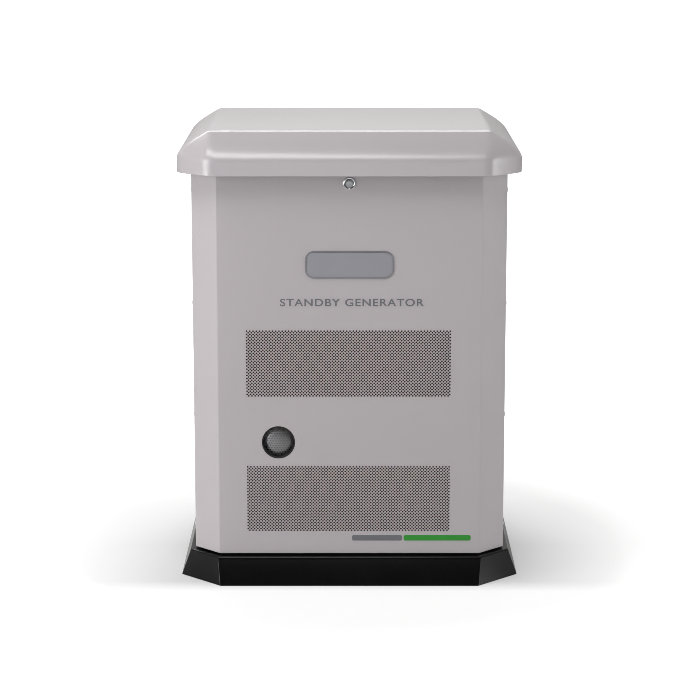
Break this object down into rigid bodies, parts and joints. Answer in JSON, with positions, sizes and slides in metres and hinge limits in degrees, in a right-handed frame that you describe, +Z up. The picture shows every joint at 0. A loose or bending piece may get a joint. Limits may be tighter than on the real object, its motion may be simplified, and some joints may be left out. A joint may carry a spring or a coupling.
{
  "type": "home standby generator",
  "caption": "Upright grey steel generator case with chamfered corners on a flared black base, under an overhanging hinged lid, with its engine, alternator, battery and controls inside.",
  "frame": {"origin": "middle of the base's underside, on the ground", "axes": "+Z up, +X to the right of someone facing the front, and the front panel faces -Y"},
  "size_m": [0.72, 0.628, 0.9569],
  "materials": {
    "panel_paint": "satin grey powder coat with a fine texture",
    "lid_paint": "smooth semi-gloss grey moulding",
    "base_plastic": "black moulded plastic with a soft gloss",
    "zinc_steel": "zinc-plated sheet steel",
    "chrome": "bright chrome plate",
    "cast_aluminium": "cast aluminium",
    "machined_steel": "machined steel",
    "black_steel": "black painted steel",
    "exhaust_steel": "heat-tinted aluminised steel",
    "copper": "varnished copper wire",
    "rubber": "black rubber",
    "foam": "closed-cell foam",
    "red_rubber": "red rubber and plastic",
    "filter_paper": "pleated paper",
    "filter_paint": "dark enamel",
    "control_plastic": "grey moulded plastic",
    "green_key": "green plastic key",
    "grey_key": "light grey plastic key",
    "red_key": "red plastic key"
  },
  "bodies": {
    "root": {"base_pad": "base_plastic", "floor_pan": "zinc_steel", "front_panel": "panel_paint", "rear_panel": "panel_paint", "left_panel": "panel_paint", "right_panel": "panel_paint", "top_frame": "zinc_steel", "top_seal": "foam", "hinge_body_leaf": "zinc_steel", "hinge_pin": "machined_steel", "lock_barrel": "chrome", "isolator_front_left": "rubber", "isolator_front_right": "rubber", "isolator_rear_left": "rubber", "isolator_rear_right": "rubber", "generator_cradle": "black_steel", "alternator_end_bracket": "cast_aluminium", "alternator_housing": "black_steel", "stator_core": "machined_steel", "stator_windings": "copper", "crankcase": "cast_aluminium", "crankcase_cover": "cast_aluminium", "cylinder_head_left": "cast_aluminium", "cylinder_head_right": "cast_aluminium", "blower_housing": "black_steel", "starter_motor": "black_steel", "oil_filter": "filter_paint", "intake_manifold": "cast_aluminium", "air_cleaner_housing": "base_plastic", "air_filter": "filter_paper", "air_cleaner_cover": "base_plastic", "muffler": "exhaust_steel", "muffler_outlet_pipe": "exhaust_steel", "outlet_screen": "exhaust_steel", "exhaust_pipe": "exhaust_steel", "battery": "base_plastic", "battery_cable_positive": "red_rubber", "battery_cable_negative": "rubber", "gas_regulator": "cast_aluminium", "gas_inlet_pipe": "machined_steel", "gas_hose": "rubber", "control_box": "zinc_steel", "control_panel": "black_steel", "controller": "control_plastic", "circuit_breaker": "base_plastic"},
    "lid": {"lid": "lid_paint", "hinge_lid_leaf": "zinc_steel", "latch_keeper": "zinc_steel"},
    "lid_lock": {"lock_plug": "chrome", "lock_cam": "zinc_steel"},
    "drive_line": {"crankshaft": "machined_steel", "rotor": "machined_steel", "flywheel": "cast_aluminium", "debris_screen": "black_steel"},
    "throttle": {"throttle_lever": "zinc_steel"},
    "oil_dipstick": {"dipstick": "red_rubber"},
    "auto_key": {"button_auto": "green_key"},
    "run_key": {"button_run": "grey_key"},
    "off_key": {"button_off": "red_key"},
    "breaker_toggle": {"breaker_handle": "control_plastic"}
  },
  "joints": [
    {"name": "lid_hinge", "type": "hinge", "parent": "root", "child": "lid", "pos_m": [0, 0.297, 0.866], "axis": [-1, 0, 0], "range_deg": [0, 95]},
    {"name": "lock_turn", "type": "hinge", "parent": "root", "child": "lid_lock", "pos_m": [0, -0.27, 0.853], "axis": [0, 1, 0], "range_deg": [0, 90]},
    {"name": "crank_spin", "type": "hinge", "parent": "root", "child": "drive_line", "pos_m": [0.07, 0.02, 0.5], "axis": [0, 0, 1], "continuous": true},
    {"name": "throttle_turn", "type": "hinge", "parent": "root", "child": "throttle", "pos_m": [0.07, -0.195, 0.57], "axis": [1, 0, 0], "range_deg": [0, 75]},
    {"name": "dipstick_pull", "type": "slide", "parent": "root", "child": "oil_dipstick", "axis": [-0.4037, 0.3387, 0.8499], "range_m": [0, 0.16]},
    {"name": "auto_key_press", "type": "slide", "parent": "root", "child": "auto_key", "axis": [0, 0, -1], "range_m": [0, 0.0015], "stiffness_N_per_m": 800, "springref_m": -0.001},
    {"name": "run_key_press", "type": "slide", "parent": "root", "child": "run_key", "axis": [0, 0, -1], "range_m": [0, 0.0015], "stiffness_N_per_m": 800, "springref_m": -0.001},
    {"name": "off_key_press", "type": "slide", "parent": "root", "child": "off_key", "axis": [0, 0, -1], "range_m": [0, 0.0015], "stiffness_N_per_m": 800, "springref_m": -0.001},
    {"name": "breaker_throw", "type": "hinge", "parent": "root", "child": "breaker_toggle", "pos_m": [-0.223, -0.108, 0.8433], "axis": [1, 0, 0], "range_deg": [0, 50]}
  ]
}
